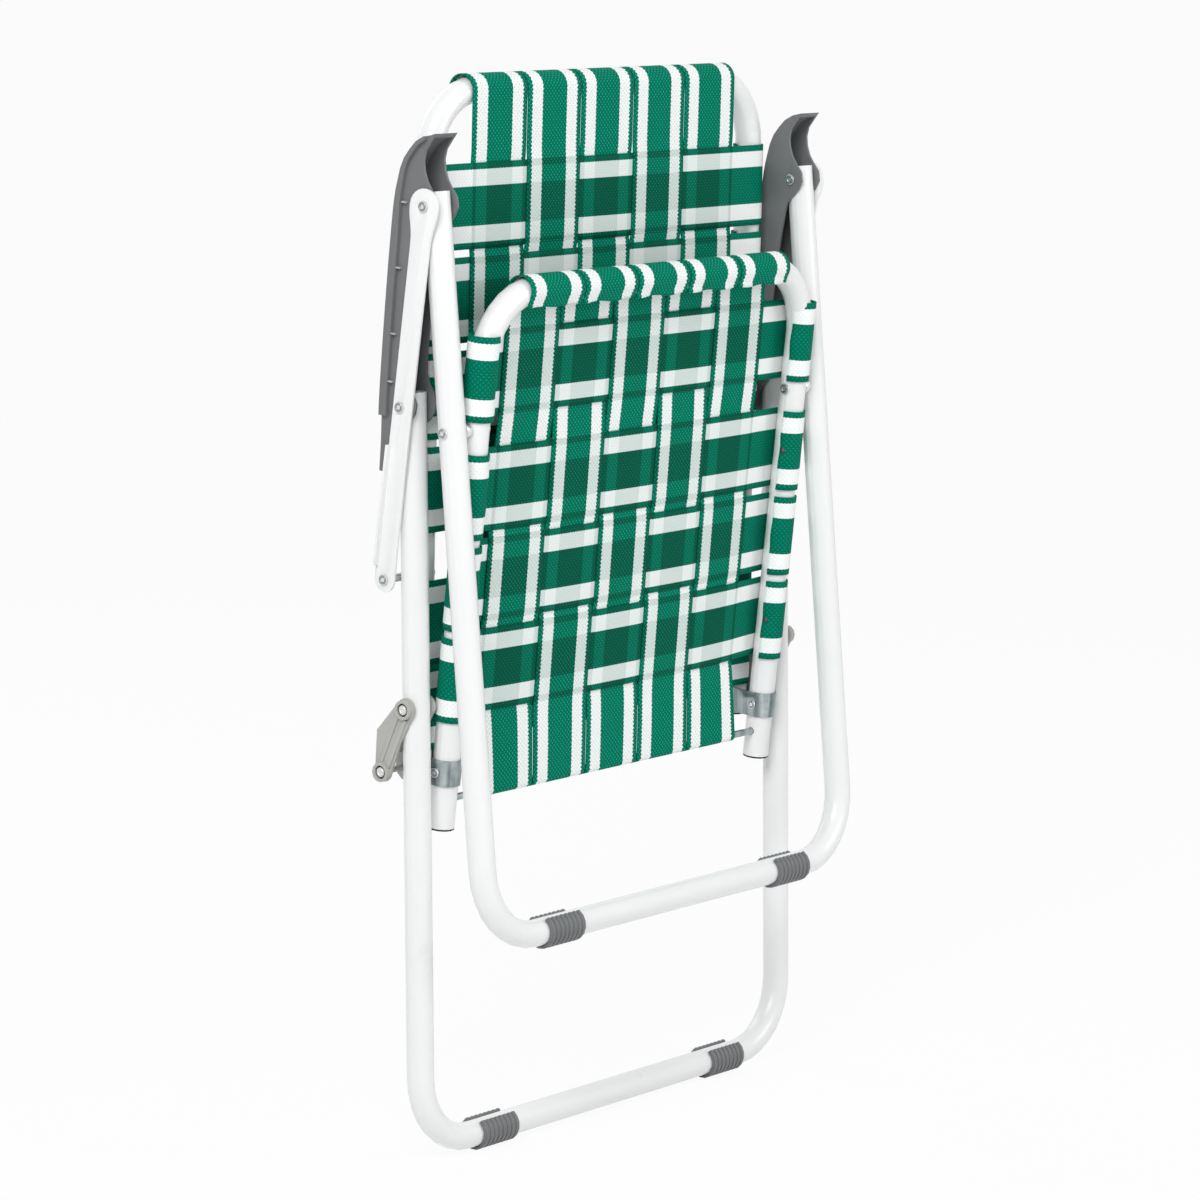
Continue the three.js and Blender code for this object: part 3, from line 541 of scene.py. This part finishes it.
# Where each sheet starts as (y, z), how it leans in degrees and which way it faces, and the heights
# up it of its top bar, its rod and the middles of the straps across it
hinge = pivots["seat_hinge"]
sheets = {
    "seat": {
        "origin": (-0.013131, 0.591244), "lean": 6.7, "facing": 1, "bar": 0.107, "rod": -0.3003,
        "rows": [0.041, -0.053, -0.127, -0.201],
    },
    "back": {
        "origin": (hinge[1], hinge[2]), "lean": 1.6, "facing": -1, "bar": 0.535, "rod": 0.018,
        "rows": [0.444, 0.370, 0.296, 0.222, 0.1157, 0.0474],
    },
}


def plane(origin, lean, facing):
    """A sheet's start, its direction up the frame and its direction out on the side sat on."""
    tilt = math.radians(lean)
    up = Vector((0, -math.sin(tilt), math.cos(tilt)))
    out = Vector((0, math.cos(tilt), math.sin(tilt))) * facing
    return Vector((0, origin[0], origin[1])), up, out


def web_sheet(kind, origin, lean, facing, bar, rod, rows):
    """Weaves one frame: the rows across it, and five straps along it."""
    start, up, out = plane(origin, lean, facing)
    half = strap_width / 2
    # Along the frame, a strap changes side at these heights, counted downwards from the start
    row_edges = [-rows[0] - half - above_first]
    row_blends = [end_blend]
    for upper, lower in zip(rows, rows[1:]):
        row_edges.append(-(upper + lower) / 2)
        row_blends.append(upper - lower - strap_width + crossing)
    row_edges.append(-rows[-1] + half + below_last)
    row_blends.append(end_blend)
    fall = 0.95 * wrap_radius if kind == "seat" else 0.55 * (wrap_radius - rod_radius)

    def base(x, height):
        """The sheet's depth: that of the wraps at the tubes, and less between them towards the rod."""
        share = min(max((bar - height) / (bar - rod), 0.0), 1.0)
        spread = 1 - min(abs(x) / tube_off, 1.0) ** 3
        return wrap_radius - fall * share * spread

    def side_of(i, j):
        """Which side the j-th strap across takes at the i-th strap along, both counted from 1."""
        over = ((i + j) % 2 == 1) == (kind == "seat")
        return (-1.0 if over else 1.0) * facing

    def put(x, depth, height):
        return start + Vector((x, 0, 0)) + up * height + out * depth

    # Steps of the mesh round each end of a strap, and between its ends
    arc, flat = 22, 142
    for j, centre in enumerate(rows):
        signs = [side_of(i + 1, j + 1) for i in range(5)]

        def spot(k, w, centre=centre, signs=signs):
            height = centre + w
            if k <= arc or k >= arc + flat:
                # Round the tube, and a little off it at the cut end
                share = 1 - k / arc if k <= arc else (k - arc - flat) / arc
                side = -1 if k <= arc else 1
                a = math.pi / 2 - cross_wrap * share
                wave = 1.2 + math.sin(w * cut_waves[0] + height * cut_waves[1])
                radius = wrap_radius + cross_end_lift * share ** 6 * wave
                return put(side * (tube_off + radius * math.cos(a)), radius * math.sin(a), height)
            x = -tube_off + 2 * tube_off * (k - arc) / flat
            side = weave(x, long_edges, signs, [crossing] * 6)
            return put(x, base(x, height) + lift * side, height)

        def behind(k):
            x = -tube_off + 2 * tube_off * (k - arc) / flat
            return ((x - long_edges[0]) / pitch, 1.0 if long_edges[0] < x < long_edges[-1] else 0.0)

        lay_strap(
            f"{kind}_cross_webbing_{j + 1}", webbing_across, arc * 2 + flat, spot, behind,
            f"{kind}_cross_strap_{j + 1}", kind,
        )

    arc, flat = 24, 160
    for i, x in enumerate(long_centres):
        signs = [-side_of(i + 1, j + 1) for j in range(len(rows))]
        # Its loop at the rod: centre's height and depth, radius, and the side that it comes down on
        foot = (rod, 0.0, rod_radius, -1 if kind == "seat" else 1)
        if kind == "back" and signs[-1] > 0:
            foot = (rod - edge_loop_drop, edge_loop_depth, edge_loop_radius, 1)
        leave = max(rows[-1] - half, foot[0] + shortest_foot)

        def spot(k, w, x=x, signs=signs, foot=foot, leave=leave):
            low, low_depth, low_radius, low_side = foot
            if k <= arc:
                # Round the top bar, then off it in a short tongue that curls outwards
                path = (wrap_radius * top_wrap + tongue) * (1 - k / arc)
                a = min(path / wrap_radius, top_wrap)
                loose = max(path - wrap_radius * top_wrap, 0.0)
                wave = 0.7 + 0.5 * math.sin(w * tongue_waves[0] + x * tongue_waves[1])
                curl = tongue_curl * (loose / tongue) ** 2 * wave
                depth = wrap_radius * math.cos(a) - loose * math.sin(a) + curl * math.cos(a)
                rise = wrap_radius * math.sin(a) + loose * math.cos(a) + curl * math.sin(a)
                return put(x + w, depth, bar + rise)
            if k >= arc + flat:
                turned = rod_wrap * (k - arc - flat) / arc
                a = -turned if low_side > 0 else math.pi + turned
                return put(x + w, low_depth + low_radius * math.cos(a), low + low_radius * math.sin(a))
            height = bar + (low - bar) * (k - arc) / flat
            side = weave(-height, row_edges, signs, row_blends)
            depth = base(x + w, height) + lift * side
            if height < leave:
                share = (leave - height) / (leave - low)
                depth = depth + (low_depth + low_side * low_radius - depth) * share
            return put(x + w, depth, height)

        def behind(k):
            height = bar + (rod - bar) * (k - arc) / flat
            for centre in rows:
                if abs(height - centre) <= half:
                    return ((centre + half - height) / strap_width, 1.0)
            return (0.0, 0.0)

        lay_strap(
            f"{kind}_long_webbing_{i + 1}", webbing_along, arc * 2 + flat, spot, behind,
            f"{kind}_long_strap_{i + 1}", kind,
        )


for kind, sizes in sheets.items():
    web_sheet(kind, **sizes)

# Tacks that pin the cut ends of the cross straps to the inner side of the tubes: small dark steel
# heads, domed by the tool that set them.
dark_steel, tree = empty_material("blackened steel")
cloud = noise(tree, add(tree, "ShaderNodeTexCoord").outputs["Object"], 700.0, 3.0)
dark_tone = mix(tree, cloud[0], "#3A3F40", "#6A7071")
surface(tree, {"Metallic": 0.85, "Roughness": 0.38}, {"Base Color": dark_tone})

tack_radius = 0.0024
tack_sink = 0.0002
# The height of each step of the dome, and how much narrower it leaves the head
tack_steps = ((0.0007, 1.0), (0.0005, 0.68))
# How far round the tube a tack sits, a little short of the strap's end
tack_turn = math.radians(90 - 250)


def set_tacks(kind, origin, lean, facing, rows):
    """Sets one tack in each end of each strap across a frame."""
    start, up, out = plane(origin, lean, facing)
    made = bmesh.new()
    for side in (-1, 1):
        normal = Vector((side * math.cos(tack_turn), 0, 0)) + out * math.sin(tack_turn)
        turn = normal.to_track_quat("Z", "Y").to_matrix()
        for centre in rows:
            tube = start + Vector((side * tube_off, 0, 0)) + up * centre
            foot = tube + normal * (wrap_radius + strap_thickness / 2)
            ring = bmesh.ops.create_circle(made, cap_ends=True, radius=tack_radius, segments=14)["verts"]
            bmesh.ops.rotate(made, verts=ring, cent=(0, 0, 0), matrix=turn)
            bmesh.ops.translate(made, verts=ring, vec=foot - normal * tack_sink)
            face = ring[0].link_faces[0]
            for rise, narrow in tack_steps:
                top = bmesh.ops.extrude_face_region(made, geom=[face])["geom"]
                face = [part for part in top if isinstance(part, bmesh.types.BMFace)][0]
                bmesh.ops.translate(made, verts=face.verts, vec=normal * rise)
                middle = face.calc_center_median()
                for vert in face.verts:
                    vert.co = middle + (vert.co - middle) * narrow
    bmesh.ops.recalc_face_normals(made, faces=made.faces)
    obj = to_object(made, f"{kind}_tacks", dark_steel)
    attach(obj, kind)


for kind, sizes in sheets.items():
    set_tacks(kind, sizes["origin"], sizes["lean"], sizes["facing"], sizes["rows"])
